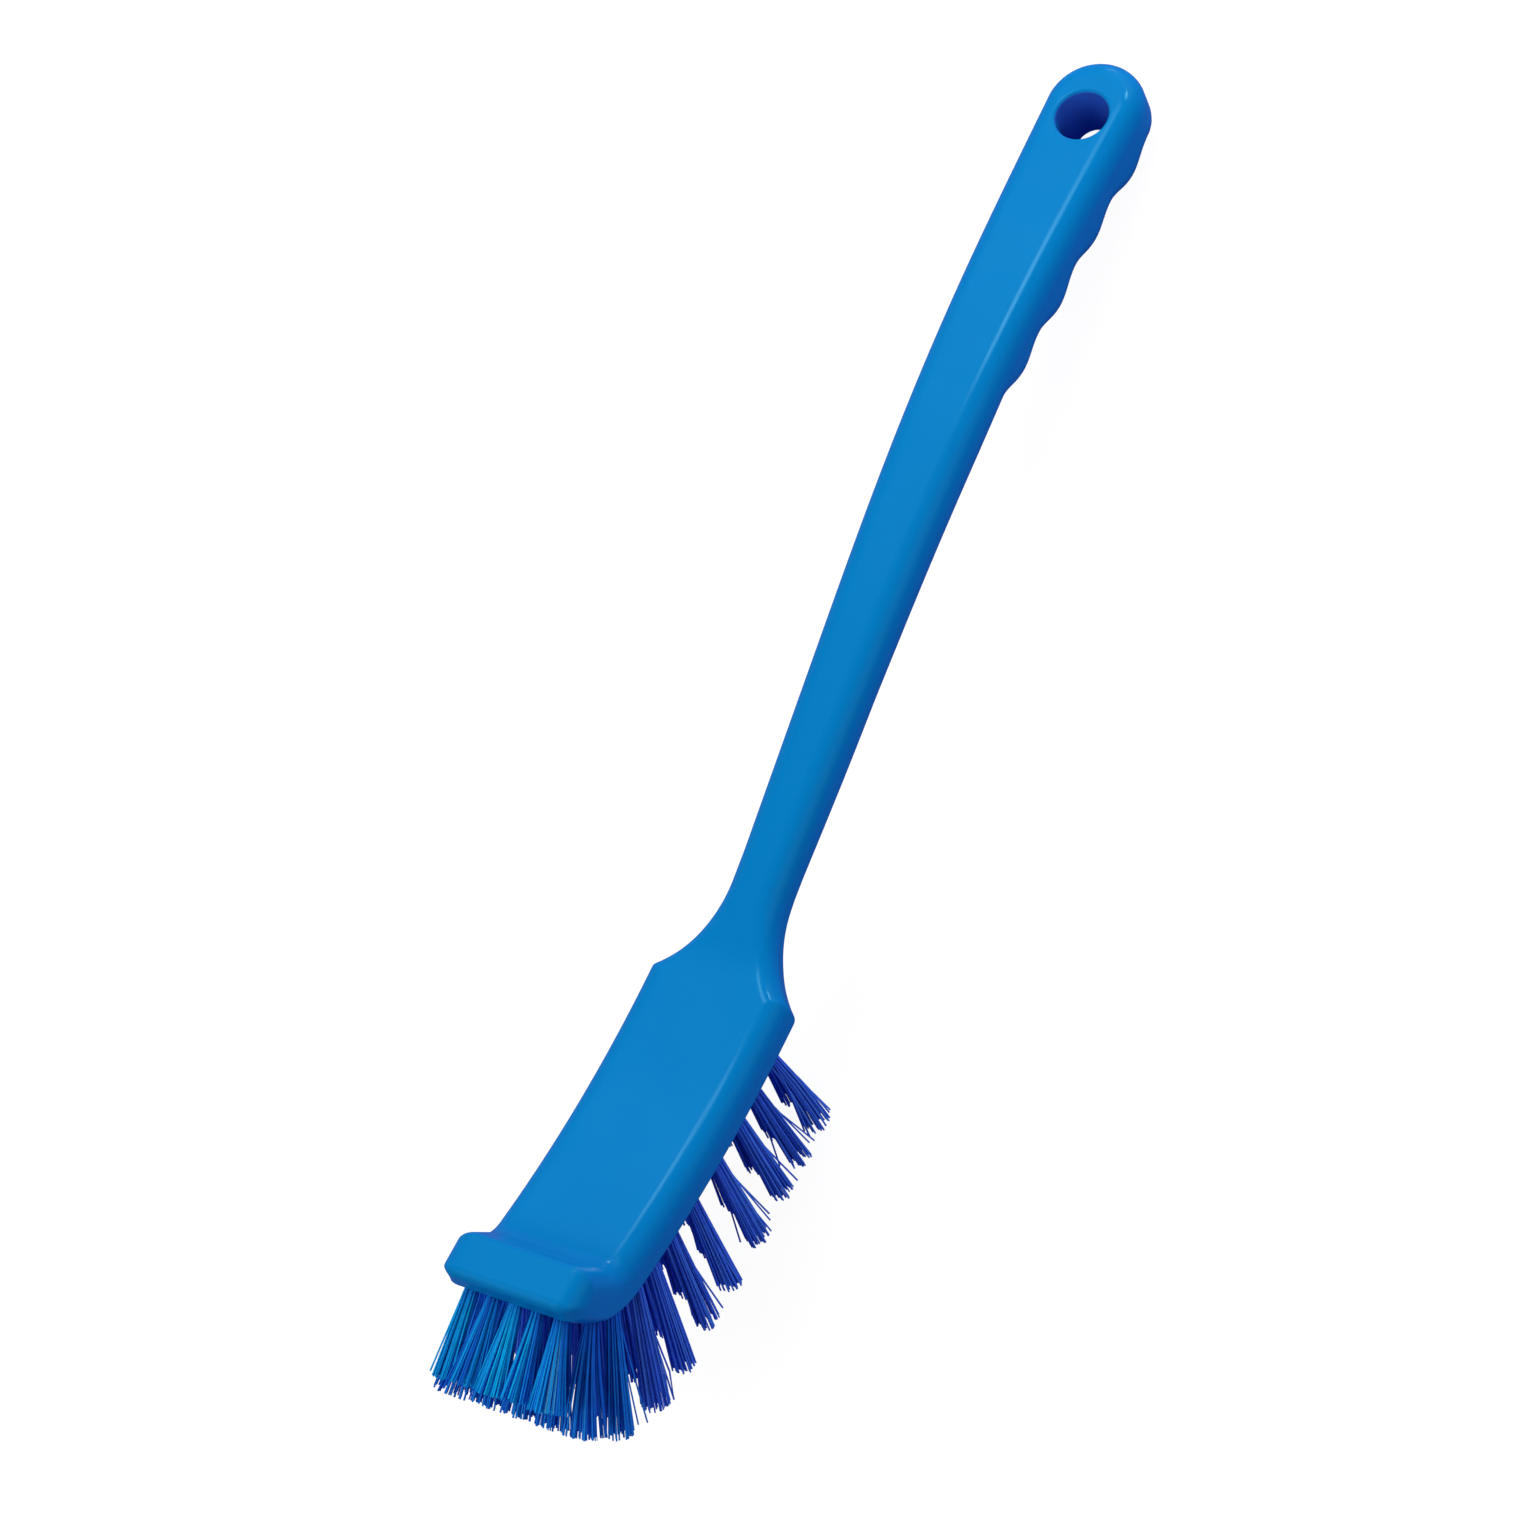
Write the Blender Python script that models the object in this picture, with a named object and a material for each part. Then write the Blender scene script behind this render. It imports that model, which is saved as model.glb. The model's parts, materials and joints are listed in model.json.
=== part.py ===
"""Long-handled scrub brush.

One moulded stock (hanging eye, finger-grooved grip, cranked shaft, neck, brush
head and raised scraper lip), bristle tufts set in blind holes in its curved
underside, and flat wire anchors that hold the tufts in.

The brush is drawn in its own head frame, in millimetres: x = 0 at the
shoulders and positive towards the nose, y to the sides, z up, with the top of
the shoulders at z = 0.  An empty then lays it down as it rests on a table, on
the rear bristle tips and the end of the grip.
"""
import math

import bmesh
import bpy
import numpy as np
from mathutils import Matrix, Vector

MM = 0.001

# ---------------------------------------------------------------- head block
HEAD_HALF_W = 27.0        # half width of the rectangular head
HEAD_T = 15.6             # thickness of the head
ROCKER_X = 35.0           # lowest point of the head's rocker curve
ROCKER_R = 343.0          # radius of the rocker curve, top face
ROCKER_R_UNDER = 374.0    # the same, underside
EDGE_R = 8.0              # rounding along the top edges, handle and head
UNDER_R_HEAD = 2.5        # rounding along the underside of the head
UNDER_R_GRIP = 9.0        # rounding along the underside of the grip
NOSE_R = 5.0              # both roundings reach this at the nose
NOSE_R_X = 116.0          # where the underside's rounding starts to grow to it
# ---------------------------------------------------------------- scraper lip
FOOT_X = 105.8            # where the top face starts to turn up
FOOT_R = 12.0
RISER_DEG = 68.0
LIP_Z = 23.8
LIP_REAR_R = 3.6
NOSE_X = 136.5
LIP_FRONT_R = 3.2
LIP_FRONT_Z = 15.8        # lower edge of the lip's front face
TOE_X = 107.6             # where the underside starts to curl up to the nose
TOE_R = 40.7
TOE_DEG = 66.0
# ---------------------------------------------------------------- handle
SHAFT_SLOPE = 0.296       # rise of the shaft towards the grip
NECK_RUN = 17.6
GRIP_SLOPE = 0.061
CRANK_START, CRANK_END = 119.0, 311.0
SHAFT_T, GRIP_T = 18.7, 23.1
NECK_T_RUN = 100.0
GRIP_T_START, GRIP_T_END = 206.5, 265.0
BUTT_T = 1.5              # extra thickness at the grip's end
BUTT_START, BUTT_END = 288.0, 322.0
NECK_HALF_W = 10.9
TAPER_X = -47.0
END_R = 18.2              # half width and plan radius of the grip's end
END_X = -328.1            # centre of that radius
TAPER = (END_R - NECK_HALF_W) / (TAPER_X - END_X)   # half width gained per mm towards the grip
SHOULDER_R = 43.9         # concave arc from the neck to the shoulder
SHOULDER_X = -36.5
GROOVE_X = -233.0         # first crest of the finger grooves
GROOVE_PITCH = 27.7
GROOVE_A = 1.95
GROOVE_COUNT = 4
EYE_X = -321.3            # hanging eye
EYE_R = 9.5
# ---------------------------------------------------------------- bristles
HOLE_R = 2.5
HOLE_DEPTH = 11.0
GAP = 0.3                 # clearance round a bundle and round an anchor
TUFT_TIP_R = 4.6          # the bundle spreads to this at its tip
COLUMN = 10.3             # side spacing of the tuft columns
NOSE_COLUMN = 8.7         # side spacing in the nose row
# rows of three, measured along the underside from the shoulders; a row of two
# stands half way between each pair of them, and one more behind the first
REAR_ROW = 2.8
ROWS_OF_THREE = (10.3, 22.8, 34.5, 50.5, 67.2, 80.9, 93.4, 103.6, 116.8)
ROW_OF_FIVE = 129.0
NOSE_ROW = 143.5
REAR_ROW_LEAN = 2.0       # degrees of forward lean of the rearmost row
LEAN_REAR = 0.19          # degrees of forward lean per mm, from the first row of three to LEAN_KNEE
LEAN_KNEE = 88.0
LEAN_NOSE = 0.873         # and from there to the nose
SPLAY, SPLAY_NOSE = 0.40, 0.36   # degrees of outward lean per mm of side offset
# free length of the tufts along the underside: (distance, length)
TRIM = ((0.0, 45.0), (81.0, 47.0), (93.5, 50.0), (103.6, 51.3), (116.8, 47.2), (129.0, 40.5), (143.5, 31.0))
# ---------------------------------------------------------------- wire anchor
ANCHOR_T, ANCHOR_H, ANCHOR_W = 0.4, 1.8, 5.8
ANCHOR_LIFT = 2.6         # from the bottom of the hole to the anchor's lower edge
ANCHORED = 4              # tufts, counted from the rear, whose anchor is modelled

SIDES = 8                 # sides of a tuft and of its hole


# ------------------------------------------------------------------ handle form
def smooth(q):
    q = np.clip(q, 0.0, 1.0)
    return q * q * (3.0 - 2.0 * q)


def top_slope(x):
    x = np.asarray(x, float)
    at_shoulder = -ROCKER_X / ROCKER_R
    s = np.where(x >= 0, (x - ROCKER_X) / ROCKER_R,
                 at_shoulder + (-SHAFT_SLOPE - at_shoulder) * smooth(-x / NECK_RUN))
    crank = smooth((-x - CRANK_START) / (CRANK_END - CRANK_START))
    return s + (SHAFT_SLOPE - GRIP_SLOPE) * crank


STATIONS = np.arange(-380.0, 140.1, 1.0)
_slopes = top_slope(STATIONS)
_heights = np.concatenate([[0.0], np.cumsum((_slopes[1:] + _slopes[:-1]) / 2)])
HEIGHTS = _heights - np.interp(0.0, STATIONS, _heights)


def top_z(x):
    return float(np.interp(x, STATIONS, HEIGHTS))


def thickness(x):
    t = HEAD_T + (SHAFT_T - HEAD_T) * float(smooth(-x / NECK_T_RUN))
    t += (GRIP_T - SHAFT_T) * float(smooth((-x - GRIP_T_START) / (GRIP_T_END - GRIP_T_START)))
    t += BUTT_T * float(smooth((-x - BUTT_START) / (BUTT_END - BUTT_START)))
    turn = (x - GROOVE_X) / GROOVE_PITCH
    if turn > 0.5:
        wave = -math.exp(-(turn - 0.5) * GROOVE_PITCH / 11.0)
    elif turn < -(GROOVE_COUNT - 0.5):
        wave = -math.exp((turn + GROOVE_COUNT - 0.5) * GROOVE_PITCH / 6.0)
    else:
        wave = math.cos(2 * math.pi * turn)
    return t + GROOVE_A * wave


def under_radius(x):
    return float(np.interp(x, [-110.0, -40.0, -18.0], [UNDER_R_GRIP, 6.0, UNDER_R_HEAD]))


def half_width(x, inset):
    """Half width of the plan outline, moved inwards by inset."""
    w = min(NECK_HALF_W + TAPER * max(TAPER_X - x, 0.0), END_R) - inset
    if x > SHOULDER_X:
        r = SHOULDER_R + inset
        u = min(x - SHOULDER_X, r)
        w = min(NECK_HALF_W + SHOULDER_R - math.sqrt(r * r - u * u), HEAD_HALF_W - inset)
    return w


def section(x, place, arc_steps):
    """One side of a cross-section, from the top's inner edge down to the underside's."""
    tilt = math.cos(math.atan(float(top_slope(x))))
    ring = []
    for a in np.linspace(0, math.pi / 2, arc_steps):
        px, py = place(EDGE_R * (1 - math.sin(a)))
        ring.append((px, py, top_z(px) - EDGE_R * (1 - math.cos(a)) / tilt))
    r = under_radius(x)
    for a in np.linspace(math.pi / 2, 0, arc_steps):
        px, py = place(r * (1 - math.sin(a)))
        ring.append((px, py, top_z(px) - thickness(px) + r * (1 - math.cos(a)) / tilt))
    return ring


# ------------------------------------------------------------------ head form
def arc(cx, cz, r, a0, a1, n):
    a = np.radians(np.linspace(a0, a1, n))
    return np.stack([cx + r * np.cos(a), cz + r * np.sin(a)], -1)


def head_top_path(k):
    """Side view of the top: rocker curve, foot, riser, lip, front face."""
    x = np.linspace(0, FOOT_X, 16 * k + 1)
    path = [np.stack([x, np.interp(x, STATIONS, HEIGHTS)], -1)]
    p = path[0][-1]
    a0 = math.degrees(math.atan((FOOT_X - ROCKER_X) / ROCKER_R))
    foot = arc(p[0] - FOOT_R * math.sin(math.radians(a0)), p[1] + FOOT_R * math.cos(math.radians(a0)),
               FOOT_R, a0 - 90, RISER_DEG - 90, 4 * k + 1)
    path.append(foot[1:])
    p = foot[-1]
    ra = math.radians(RISER_DEG)
    rise = max(LIP_Z - LIP_REAR_R * (1 - math.cos(ra)) - p[1], 0.2)
    q = p + np.array([rise / math.tan(ra), rise])
    path.append(q[None])
    rear = arc(q[0] + LIP_REAR_R * math.sin(ra), q[1] - LIP_REAR_R * math.cos(ra),
               LIP_REAR_R, 90 + RISER_DEG, 90, 3 * k + 1)
    path.append(rear[1:])
    p = rear[-1]
    e = np.array([NOSE_X - LIP_FRONT_R, p[1]])
    path.append(np.linspace(p, e, 2 * k + 1)[1:])
    path.append(arc(e[0], e[1] - LIP_FRONT_R, LIP_FRONT_R, 90, 0, 3 * k + 1)[1:])
    path.append(np.linspace(path[-1][-1], np.array([NOSE_X, LIP_FRONT_Z]), 2 * k + 1)[1:])
    return np.concatenate(path)


def head_under_path(k):
    """Side view of the underside: rocker curve, then the curl up to the nose."""
    x = np.linspace(0, TOE_X, 16 * k + 1)
    z = ((x - ROCKER_X) ** 2 - ROCKER_X ** 2) / (2 * ROCKER_R_UNDER) - HEAD_T
    a0 = math.degrees(math.atan((TOE_X - ROCKER_X) / ROCKER_R_UNDER))
    toe = arc(TOE_X - TOE_R * math.sin(math.radians(a0)), z[-1] + TOE_R * math.cos(math.radians(a0)),
              TOE_R, a0 - 90, TOE_DEG - 90, 12 * k + 1)
    ease = np.linspace(0, 1, len(toe))[:, None] ** 2
    toe = toe + (np.array([NOSE_X, LIP_FRONT_Z]) - toe[-1]) * ease
    return np.concatenate([np.stack([x, z], -1), toe[1:]])


def run(path):
    return np.concatenate([[0.0], np.cumsum(np.hypot(*np.diff(path, axis=0).T))])


def at_shares(path, share):
    """Points of the path at the given shares of its length."""
    s = run(path)
    q = np.asarray(share) * s[-1]
    return np.stack([np.interp(q, s, path[:, 0]), np.interp(q, s, path[:, 1])], -1)


def distance(p, path):
    a, b = path[:-1], path[1:]
    ab = b - a
    t = np.clip(((p - a) * ab).sum(-1) / np.maximum((ab * ab).sum(-1), 1e-12), 0, 1)
    return float(np.sqrt((((a + ab * t[:, None]) - p) ** 2).sum(-1)).min())


def rounding(r, depth):
    depth = min(max(depth, 0.0), r)
    return r - math.sqrt(max(r * r - (r - depth) ** 2, 0.0))


def nose_roundings(t, u):
    """Rounding at a top point and at its underside point; they meet at the nose."""
    drop = 0.0
    if t[0] > NOSE_X - LIP_FRONT_R:
        drop = float(np.clip((LIP_Z - LIP_FRONT_R - t[1]) / (LIP_Z - LIP_FRONT_R - LIP_FRONT_Z), 0, 1))
    grow = float(smooth((u[0] - NOSE_R_X) / (NOSE_X - NOSE_R_X)))
    return EDGE_R + (NOSE_R - EDGE_R) * drop, UNDER_R_HEAD + (NOSE_R - UNDER_R_HEAD) * grow


# ------------------------------------------------------------------ stock
def stock_rings(arc_steps, step, end_rings):
    rings = []
    for a in np.linspace(0, math.pi / 2, end_rings)[:-1]:
        rings.append(section(END_X - END_R * math.cos(a),
                             lambda d, a=a: (END_X - (END_R - d) * math.cos(a), (END_R - d) * math.sin(a)),
                             arc_steps))
    stations = list(np.arange(END_X, -60.0, step)) + list(np.linspace(-58, -40, 5)) + list(np.linspace(-37, 0, 14)[:-1])
    for x in stations:
        rings.append(section(x, lambda d, x=x: (x, half_width(x, d)), arc_steps))
    t_pts, under = head_top_path(1), head_under_path(2)
    top = t_pts
    share = run(t_pts) / run(t_pts)[-1]
    u_pts = at_shares(under, share)
    turn = np.linspace(0, math.pi / 2, arc_steps)
    for t, u in zip(t_pts, u_pts):
        length = float(np.hypot(*(u - t)))
        r_top, r_under = nose_roundings(t, u)
        squeeze = min(1.0, length / (r_top + r_under + 0.01))
        down = np.concatenate([r_top * (1 - np.cos(turn)) * squeeze,
                               length - (r_under * (1 - np.cos(turn)) * squeeze)[::-1]])
        ring = []
        for s in np.clip(down, 0, length):
            p = t + (u - t) * (s / max(length, 1e-9))
            y = HEAD_HALF_W - max(rounding(r_top, distance(p, top)), rounding(r_under, distance(p, under)))
            ring.append((p[0], y, p[1]))
        rings.append(ring)
    return rings


def mesh_object(name, bm, material, parent):
    for v in bm.verts:
        v.co *= MM
    bmesh.ops.recalc_face_normals(bm, faces=bm.faces)
    mesh = bpy.data.meshes.new(name)
    bm.to_mesh(mesh)
    bm.free()
    if material is not None:
        mesh.materials.append(material)
    ob = bpy.data.objects.new(name, mesh)
    bpy.context.scene.collection.objects.link(ob)
    ob.parent = parent
    return ob


def build_stock(material, parent):
    rings = stock_rings(5, 7.0, 6)
    bm = bmesh.new()
    loops = []
    for ring in rings:
        right = [bm.verts.new(p) for p in ring]
        left = [bm.verts.new((p[0], -p[1], p[2])) for p in reversed(ring)]
        loops.append(right + left)
    for a, b in zip(loops[:-1], loops[1:]):
        for i in range(len(a)):
            j = (i + 1) % len(a)
            bm.faces.new((a[i], a[j], b[j], b[i]))
    bmesh.ops.remove_doubles(bm, verts=bm.verts, dist=0.02)
    bmesh.ops.triangulate(bm, faces=[f for f in bm.faces if len(f.verts) > 3])
    ob = mesh_object("stock", bm, material, parent)
    ob.data.shade_smooth()
    ob.data.set_sharp_from_angle(angle=math.radians(40))
    return ob


def cutter(name, bm, parent, target):
    ob = mesh_object(name, bm, None, parent)
    ob.hide_render = True
    ob.display_type = 'WIRE'
    mod = target.modifiers.new(name, 'BOOLEAN')
    mod.operation = 'DIFFERENCE'
    mod.object = ob
    return ob


def add_tube(bm, origin, axis, side, levels, sides):
    """A closed turned body: levels are (distance along the axis, radius)."""
    other = axis.cross(side)
    loops = []
    for h, r in levels:
        loop = []
        for i in range(sides):
            a = 2 * math.pi * (i + 0.5) / sides
            loop.append(bm.verts.new(origin + axis * h + side * (r * math.cos(a)) + other * (r * math.sin(a))))
        loops.append(loop)
    for a, b in zip(loops[:-1], loops[1:]):
        for i in range(sides):
            j = (i + 1) % sides
            bm.faces.new((a[i], a[j], b[j], b[i]))
    bm.faces.new(list(reversed(loops[0])))
    bm.faces.new(loops[-1])


def add_block(bm, centre, u, v, w, du, dv, dw):
    c = [bm.verts.new(centre + u * (du * a) + v * (dv * b) + w * (dw * e))
         for a in (-0.5, 0.5) for b in (-0.5, 0.5) for e in (-0.5, 0.5)]
    for f in ((0, 1, 3, 2), (4, 6, 7, 5), (0, 4, 5, 1), (2, 3, 7, 6), (0, 2, 6, 4), (1, 5, 7, 3)):
        bm.faces.new([c[i] for i in f])


# ------------------------------------------------------------------ bristle layout
UNDER = head_under_path(8)
UNDER_RUN = run(UNDER)


def tuft_layout():
    """Each tuft: name, root on the underside, direction, side direction, free length."""
    rows = [(REAR_ROW, (-COLUMN, COLUMN), ("right", "left"))]
    for i, s in enumerate(ROWS_OF_THREE):
        rows.append((s, (-2 * COLUMN, 0.0, 2 * COLUMN), ("right", "centre", "left")))
        if i + 1 < len(ROWS_OF_THREE):
            rows.append(((s + ROWS_OF_THREE[i + 1]) / 2, (-COLUMN, COLUMN), ("right", "left")))
    five = ("right", "mid_right", "centre", "mid_left", "left")
    rows.append((ROW_OF_FIVE, tuple(COLUMN * i for i in range(-2, 3)), five))
    rows.append((NOSE_ROW, tuple(NOSE_COLUMN * i for i in range(-2, 3)), five))
    out = []
    for number, (s, sides, words) in enumerate(rows, 1):
        x = float(np.interp(s, UNDER_RUN, UNDER[:, 0]))
        z = float(np.interp(s, UNDER_RUN, UNDER[:, 1]))
        lean = LEAN_REAR * max(min(s, LEAN_KNEE) - ROWS_OF_THREE[0], 0.0) + LEAN_NOSE * max(s - LEAN_KNEE, 0.0)
        if s == REAR_ROW:
            lean = REAR_ROW_LEAN
        spread = float(np.interp(s, [ROWS_OF_THREE[-1], NOSE_ROW], [SPLAY, SPLAY_NOSE]))
        free = float(np.interp(s, [t[0] for t in TRIM], [t[1] for t in TRIM]))
        for y, word in zip(sides, words):
            a, b = math.radians(lean), math.radians(spread * y)
            d = Vector((math.sin(a) * math.cos(b), math.sin(b), -math.cos(a) * math.cos(b)))
            side = Vector((0, 1, 0)) - d * d.y
            side.normalize()
            out.append(("r%02d_%s" % (number, word), Vector((x, y, z)), d, side, free))
    return out


def build_tuft(name, root, d, side, free, anchored, material, parent):
    # a convex body: each stretch opens less steeply than the one below it
    r = HOLE_R - GAP
    deep = HOLE_DEPTH - GAP
    opening = (TUFT_TIP_R - r) / free
    heel = r - 1.12 * opening * (deep - 2.4)
    bm = bmesh.new()
    levels = [(-deep, heel * 0.5), (-deep + 1.0, heel * 0.85), (-deep + 2.4, heel), (0.0, r), (free, TUFT_TIP_R)]
    add_tube(bm, root, d, side, levels, SIDES)
    ob = mesh_object("tuft_" + name, bm, material, parent)
    if anchored:
        bm = bmesh.new()
        other = d.cross(side)
        mid = root - d * (HOLE_DEPTH - ANCHOR_LIFT - ANCHOR_H / 2)
        add_block(bm, mid, side, other, d, 2 * HOLE_R + 2, ANCHOR_T + 2 * GAP, ANCHOR_H + 2 * GAP)
        cutter("cut_window_" + name, bm, parent, ob)
    ob.data.shade_smooth()
    ob.data.set_sharp_from_angle(angle=math.radians(50))
    return ob


def material(name, rgb, rough, metal=0.0):
    m = bpy.data.materials.new(name)
    m.use_nodes = True
    b = m.node_tree.nodes["Principled BSDF"]
    b.inputs["Base Color"].default_value = (*rgb, 1.0)
    b.inputs["Roughness"].default_value = rough
    b.inputs["Metallic"].default_value = metal
    return m


def lowest_after(points, tilt):
    c, s = math.cos(tilt), math.sin(tilt)
    return min(s * p[0] + c * p[2] for p in points)


def rest_tilt(handle_points, tip_points):
    """The nose-up angle at which the grip's end and the rear tips are level."""
    lo, hi = 0.0, math.radians(40)
    for _ in range(60):
        mid = (lo + hi) / 2
        if lowest_after(handle_points, mid) > lowest_after(tip_points, mid):
            lo = mid
        else:
            hi = mid
    return (lo + hi) / 2


def main():
    for ob in list(bpy.data.objects):
        bpy.data.objects.remove(ob, do_unlink=True)

    rest = bpy.data.objects.new("rest_frame", None)
    bpy.context.scene.collection.objects.link(rest)

    plastic = material("stock_plastic", (0.0, 0.21, 0.58), 0.34)
    filament = material("filament", (0.004, 0.10, 0.42), 0.30)
    steel = material("anchor_steel", (0.60, 0.60, 0.58), 0.30, 1.0)

    layout = tuft_layout()
    stock = build_stock(plastic, rest)

    # hanging eye
    bm = bmesh.new()
    slope = math.atan(float(top_slope(EYE_X)))
    axis = Vector((-math.sin(slope), 0, math.cos(slope)))
    add_tube(bm, Vector((EYE_X, 0, top_z(EYE_X))) - axis * 40, axis, Vector((0, 1, 0)),
             [(0, EYE_R), (60, EYE_R)], 24)
    cutter("cut_eye", bm, rest, stock)

    # blind tuft holes
    bm = bmesh.new()
    for name, root, d, side, free in layout:
        add_tube(bm, root - d * HOLE_DEPTH, d, side, [(0, HOLE_R), (HOLE_DEPTH + 6, HOLE_R)], SIDES)
    cutter("cut_tuft_holes", bm, rest, stock)

    # the anchors' ends bite into the walls of their holes
    bm = bmesh.new()
    for name, root, d, side, free in layout[:ANCHORED]:
        mid = root - d * (HOLE_DEPTH - ANCHOR_LIFT - ANCHOR_H / 2)
        add_block(bm, mid, side, d.cross(side), d, ANCHOR_W + 2 * GAP, ANCHOR_T + 2 * GAP, ANCHOR_H + 2 * GAP)
    cutter("cut_anchor_slots", bm, rest, stock)

    tips = []
    for index, (name, root, d, side, free) in enumerate(layout):
        anchored = index < ANCHORED
        ob = build_tuft(name, root, d, side, free, anchored, filament, rest)
        tips += [v.co / MM for v in ob.data.vertices]
        if anchored:
            bm = bmesh.new()
            mid = root - d * (HOLE_DEPTH - ANCHOR_LIFT - ANCHOR_H / 2)
            add_block(bm, mid, side, d.cross(side), d, ANCHOR_W, ANCHOR_T, ANCHOR_H)
            mesh_object("anchor_" + name, bm, steel, rest)

    # lay the brush down: rear tips and grip end on z = 0, box centred on x = y = 0
    body = [v.co / MM for v in stock.data.vertices]
    tilt = rest_tilt(body, tips)
    everything = body + tips
    c, s = math.cos(tilt), math.sin(tilt)
    xs = [c * p[0] - s * p[2] for p in everything]
    low = lowest_after(everything, tilt)
    rest.matrix_world = (Matrix.Translation(Vector((-(min(xs) + max(xs)) / 2, 0, -low)) * MM)
                         @ Matrix.Rotation(-tilt, 4, 'Y'))
    bpy.context.view_layer.update()


main()
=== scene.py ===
import json
import math

import bmesh
import bpy
import numpy as np
from mathutils import Matrix, Vector


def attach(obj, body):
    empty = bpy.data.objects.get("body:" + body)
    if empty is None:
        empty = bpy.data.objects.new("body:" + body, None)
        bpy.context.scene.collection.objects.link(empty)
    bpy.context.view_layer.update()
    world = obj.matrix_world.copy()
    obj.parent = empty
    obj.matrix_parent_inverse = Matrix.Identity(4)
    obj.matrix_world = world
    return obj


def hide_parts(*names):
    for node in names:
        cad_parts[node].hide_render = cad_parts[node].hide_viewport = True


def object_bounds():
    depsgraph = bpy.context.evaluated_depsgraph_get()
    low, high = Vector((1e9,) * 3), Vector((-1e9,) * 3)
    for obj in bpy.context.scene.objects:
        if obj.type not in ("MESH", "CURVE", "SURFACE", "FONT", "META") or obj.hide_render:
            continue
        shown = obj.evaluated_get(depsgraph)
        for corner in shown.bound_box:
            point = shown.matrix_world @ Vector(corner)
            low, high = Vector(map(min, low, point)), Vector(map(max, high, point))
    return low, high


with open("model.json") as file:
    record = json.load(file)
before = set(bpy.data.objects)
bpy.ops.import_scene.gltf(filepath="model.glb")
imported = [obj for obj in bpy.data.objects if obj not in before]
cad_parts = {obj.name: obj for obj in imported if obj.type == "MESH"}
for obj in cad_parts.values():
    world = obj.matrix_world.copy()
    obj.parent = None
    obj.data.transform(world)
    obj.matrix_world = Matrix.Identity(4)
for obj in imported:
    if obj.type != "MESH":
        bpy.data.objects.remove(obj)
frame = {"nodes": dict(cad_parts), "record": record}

CAD_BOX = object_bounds()
MM = 0.001

# =====================================================================
# The brush's own head frame (mm: x = 0 at the shoulders, positive to the
# nose, z = 0 on top of the shoulders) and how it lies in the row frame.
# =====================================================================
LIP_TOP = Vector((128.5, 0.0, 23.8)) * MM      # the lip_top mount's point in the head frame
_lip = next(m for m in frame["record"]["mounts"] if m["name"] == "lip_top")
TILT = math.atan2(-_lip["axis"][0], _lip["axis"][2])
HEAD = Matrix.Translation(Vector(_lip["pos_m"])) @ Matrix.Rotation(-TILT, 4, 'Y') @ Matrix.Translation(-LIP_TOP)

HEAD_HALF_W, HEAD_T = 27.0, 15.6
ROCKER_X, ROCKER_R, ROCKER_R_UNDER = 35.0, 343.0, 374.0
EDGE_R, UNDER_R_HEAD, UNDER_R_GRIP = 8.0, 2.5, 9.0
FOOT_X, FOOT_R, RISER_DEG = 104.3, 13.5, 60.0
LIP_Z, LIP_REAR_R, NOSE_X, LIP_FRONT_R, LIP_FRONT_Z = 23.8, 3.6, 136.5, 3.2, 15.8
TOE_X, TOE_R, TOE_DEG = 107.6, 40.7, 66.0
SHAFT_SLOPE, NECK_RUN, GRIP_SLOPE = 0.296, 17.6, 0.061
CRANK_START, CRANK_END = 119.0, 311.0
SHAFT_T, GRIP_T, NECK_T_RUN = 18.7, 23.1, 100.0
GRIP_T_START, GRIP_T_END = 206.5, 265.0
BUTT_T, BUTT_START, BUTT_END = 1.5, 288.0, 322.0
NECK_HALF_W, TAPER_X = 10.9, -47.0
END_R, END_X = 18.2, -328.1
TAPER = (END_R - NECK_HALF_W) / (TAPER_X - END_X)
SHOULDER_R, SHOULDER_X = 43.9, -36.5
NOSE_R, NOSE_R_X = 7.2, 122.0                   # both roundings reach this at the nose
CORNER_R = 3.2                                  # rounding of the shoulder's corner in plan
GROOVE_X, GROOVE_PITCH, GROOVE_A, GROOVE_COUNT = -233.0, 27.7, 1.95, 4
EYE_X, EYE_R, EYE_RIM = -321.3, 9.5, 1.4
HOLE_R, HOLE_DEPTH = 2.5, 11.0
COLUMN, NOSE_COLUMN = 10.3, 8.7
REAR_ROW, REAR_ROW_LEAN = 2.8, 2.0
ROWS_OF_THREE = (10.3, 22.8, 34.5, 50.5, 67.2, 80.9, 93.4, 103.6, 116.8)
ROW_OF_FIVE, NOSE_ROW = 129.0, 143.5
LEAN_REAR, LEAN_KNEE, LEAN_NOSE = 0.19, 88.0, 0.873
SPLAY, SPLAY_NOSE = 0.40, 0.36
TRIM = ((0.0, 45.0), (81.0, 47.0), (93.5, 50.0), (103.6, 51.3), (116.8, 47.2), (129.0, 40.5), (143.5, 31.0))
FILAMENT_R = 0.315
FOLDED_PER_TUFT = 27
# painted shade: how much darker each filament is painted towards its foot in the bundle, at each point from the tip
# to the hole
FOOT_PAINTED_SHADE = (1.0, 1.0, 1.0, 0.85, 0.45, 0.12)
FOOT_PAINTED_SHADE_NOSE = (1.0, 1.0, 1.0, 1.0, 0.85, 0.45)
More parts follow.
